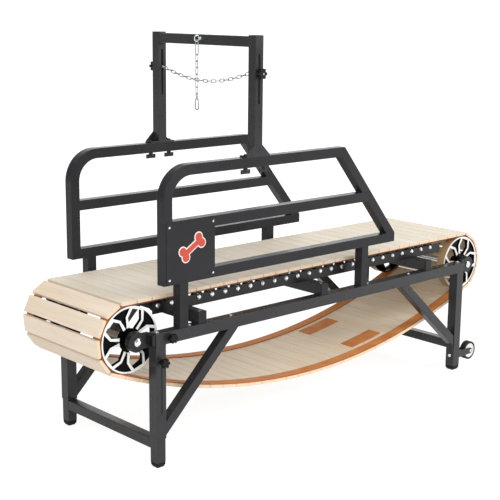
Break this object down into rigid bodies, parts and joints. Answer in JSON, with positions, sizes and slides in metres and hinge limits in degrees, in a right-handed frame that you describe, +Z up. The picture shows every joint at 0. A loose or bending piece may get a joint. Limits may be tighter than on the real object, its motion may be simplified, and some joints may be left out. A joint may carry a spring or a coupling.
{
  "type": "dog treadmill",
  "caption": "Free-running dog treadmill: a loop of wooden slats on spoked wheels and side bearings, on a tubular steel frame with side guards and a tether arch.",
  "frame": {"origin": "on the floor under the middle of the belt, half way between the axles", "axes": "+X along the belt towards its rear, +Y across the belt from the side with the panel, +Z up"},
  "size_m": [2.167, 0.6616, 1.521],
  "materials": {
    "frame_coat": "satin powder coat",
    "bearing_steel": "ground steel",
    "zinc_bolts": "bright zinc plate",
    "shaft_steel": "turned steel",
    "chain_steel": "bright plate",
    "black_hardware": "black oxide",
    "panel_sheet": "satin powder coat",
    "emblem": "moulded relief",
    "foot_rubber": "matte",
    "cap_plastic": "fine grain",
    "wheel_alloy": "white raised faces over gloss black",
    "roller": "black tread and white hub",
    "slat_wood": "sanded and oiled",
    "edge_strip": "brown, waxed edge",
    "knob_plastic": "moulded"
  },
  "bodies": {
    "frame": {"near_side_rail": "frame_coat", "far_side_rail": "frame_coat", "near_front_leg": "frame_coat", "far_front_leg": "frame_coat", "near_rear_leg": "frame_coat", "far_rear_leg": "frame_coat", "leg_braces": "frame_coat", "rear_cross_tube": "frame_coat", "deck_crossbeams": "frame_coat", "near_bearing_rail": "frame_coat", "far_bearing_rail": "frame_coat", "near_deck_bearings": "bearing_steel", "far_deck_bearings": "bearing_steel", "deck_bearing_bolts": "zinc_bolts", "near_guard": "frame_coat", "far_guard": "frame_coat", "side_panel": "panel_sheet", "panel_emblem": "emblem", "near_arch_post": "frame_coat", "far_arch_post": "frame_coat", "arch_crossbar": "frame_coat", "arch_base_plates": "frame_coat", "arch_wing_bolts": "black_hardware", "eye_bolt": "zinc_bolts", "rear_feet": "foot_rubber", "tube_caps": "cap_plastic", "frame_bolts": "zinc_bolts", "rear_axle_brackets": "frame_coat", "transport_forks": "frame_coat"},
    "front_axle_carrier": {"front_axle_brackets": "frame_coat"},
    "front_drum": {"front_shaft": "shaft_steel", "near_front_wheel": "wheel_alloy", "far_front_wheel": "wheel_alloy"},
    "rear_drum": {"rear_shaft": "shaft_steel", "near_rear_wheel": "wheel_alloy", "far_rear_wheel": "wheel_alloy"},
    "belt_top": {"top_slats": "slat_wood", "top_edge_strips": "edge_strip"},
    "belt_front_wrap": {"front_wrap_slats": "slat_wood", "front_wrap_strips": "edge_strip"},
    "belt_return": {"return_slats": "slat_wood", "return_strips": "edge_strip"},
    "belt_rear_wrap": {"rear_wrap_slats": "slat_wood", "rear_wrap_strips": "edge_strip"},
    "front_stand": {"front_inner_legs": "frame_coat", "front_cross_tube": "frame_coat", "front_feet": "foot_rubber"},
    "near_leg_clamp": {"near_leg_knob": "knob_plastic"},
    "far_leg_clamp": {"far_leg_knob": "knob_plastic"},
    "near_rail_clamp": {"near_rail_knob": "knob_plastic"},
    "far_rail_clamp": {"far_rail_knob": "knob_plastic"},
    "cross_tether": {"cross_chain": "chain_steel"},
    "near_slot_clamp": {"near_slot_knob": "knob_plastic"},
    "far_slot_clamp": {"far_slot_knob": "knob_plastic"},
    "tether_top": {"tether_link": "chain_steel"},
    "tether_run": {"tether_chain": "chain_steel"},
    "tether_hook": {"snap_hook": "chain_steel"},
    "hook_gate": {"snap_gate": "chain_steel"},
    "near_roller": {"near_transport_wheel": "roller"},
    "far_roller": {"far_transport_wheel": "roller"}
  },
  "joints": [
    {"name": "belt_tension", "type": "slide", "parent": "frame", "child": "front_axle_carrier", "axis": [1, 0, 0], "range_m": [0, 0.005]},
    {"name": "front_drum_spin", "type": "hinge", "parent": "front_axle_carrier", "child": "front_drum", "pos_m": [-0.9425, 0, 0.479], "axis": [0, 1, 0], "continuous": true},
    {"name": "rear_drum_spin", "type": "hinge", "parent": "frame", "child": "rear_drum", "pos_m": [0.9425, 0, 0.479], "axis": [0, 1, 0], "continuous": true},
    {"name": "belt_travel", "type": "slide", "parent": "frame", "child": "belt_top", "axis": [1, 0, 0], "range_m": [-0.02, 0.02]},
    {"name": "front_wrap_turn", "type": "hinge", "parent": "frame", "child": "belt_front_wrap", "pos_m": [-0.9425, 0, 0.479], "axis": [0, 1, 0], "range_deg": [-9.5, 9.5]},
    {"name": "return_run_turn", "type": "hinge", "parent": "frame", "child": "belt_return", "pos_m": [0, 0, 2.78733], "axis": [0, 1, 0], "range_deg": [-0.5, 0.5]},
    {"name": "rear_wrap_turn", "type": "hinge", "parent": "frame", "child": "belt_rear_wrap", "pos_m": [0.9425, 0, 0.479], "axis": [0, 1, 0], "range_deg": [-9.5, 9.5]},
    {"name": "front_stand_slide", "type": "slide", "parent": "frame", "child": "front_stand", "axis": [0, 0, -1], "range_m": [0, 0.19]},
    {"name": "near_leg_knob_turn", "type": "hinge", "parent": "front_stand", "child": "near_leg_clamp", "pos_m": [-0.858, -0.3143, 0.397], "axis": [0, 1, 0], "range_deg": [0, 360]},
    {"name": "far_leg_knob_turn", "type": "hinge", "parent": "front_stand", "child": "far_leg_clamp", "pos_m": [-0.858, 0.3143, 0.397], "axis": [0, 1, 0], "range_deg": [0, 360]},
    {"name": "near_rail_knob_turn", "type": "hinge", "parent": "frame", "child": "near_rail_clamp", "pos_m": [-0.8173, -0.3143, 0.479], "axis": [0, 1, 0], "range_deg": [0, 360]},
    {"name": "far_rail_knob_turn", "type": "hinge", "parent": "frame", "child": "far_rail_clamp", "pos_m": [-0.8173, 0.3143, 0.479], "axis": [0, 1, 0], "range_deg": [0, 360]},
    {"name": "cross_chain_height", "type": "slide", "parent": "frame", "child": "cross_tether", "axis": [0, 0, 1], "range_m": [-0.1, 0.06]},
    {"name": "near_slot_knob_turn", "type": "hinge", "parent": "cross_tether", "child": "near_slot_clamp", "pos_m": [-0.399, -0.31, 1.385], "axis": [0, 1, 0], "range_deg": [0, 360]},
    {"name": "far_slot_knob_turn", "type": "hinge", "parent": "cross_tether", "child": "far_slot_clamp", "pos_m": [-0.399, 0.31, 1.385], "axis": [0, 1, 0], "range_deg": [0, 360]},
    {"name": "tether_side_swing", "type": "hinge", "parent": "frame", "child": "tether_top", "pos_m": [-0.4405, 0, 1.4915], "axis": [1, 0, 0], "range_deg": [-40, 40]},
    {"name": "tether_fore_swing", "type": "hinge", "parent": "tether_top", "child": "tether_run", "pos_m": [-0.4405, 0, 1.4403], "axis": [0, 1, 0], "range_deg": [-4, 50]},
    {"name": "snap_hook_swing", "type": "hinge", "parent": "tether_run", "child": "tether_hook", "pos_m": [-0.4405, 0, 1.2941], "axis": [0, 1, 0], "range_deg": [-10, 45]},
    {"name": "snap_gate_open", "type": "hinge", "parent": "tether_hook", "child": "hook_gate", "pos_m": [-0.4405, -0.009, 1.2652], "axis": [1, 0, 0], "range_deg": [0, 25], "stiffness_Nm_per_rad": 0.03, "springref_deg": -5.73},
    {"name": "near_roller_spin", "type": "hinge", "parent": "frame", "child": "near_roller", "pos_m": [0.969, -0.28, 0.068], "axis": [0, 1, 0], "continuous": true},
    {"name": "far_roller_spin", "type": "hinge", "parent": "frame", "child": "far_roller", "pos_m": [0.969, 0.28, 0.068], "axis": [0, 1, 0], "continuous": true}
  ],
  "couplings": [
    {"joint": "rear_drum_spin", "follows": "front_drum_spin", "ratio": 1},
    {"joint": "front_wrap_turn", "follows": "belt_travel", "rad_per_m": 8.0775},
    {"joint": "rear_wrap_turn", "follows": "belt_travel", "rad_per_m": 8.0775},
    {"joint": "return_run_turn", "follows": "belt_travel", "rad_per_m": 0.3821}
  ]
}
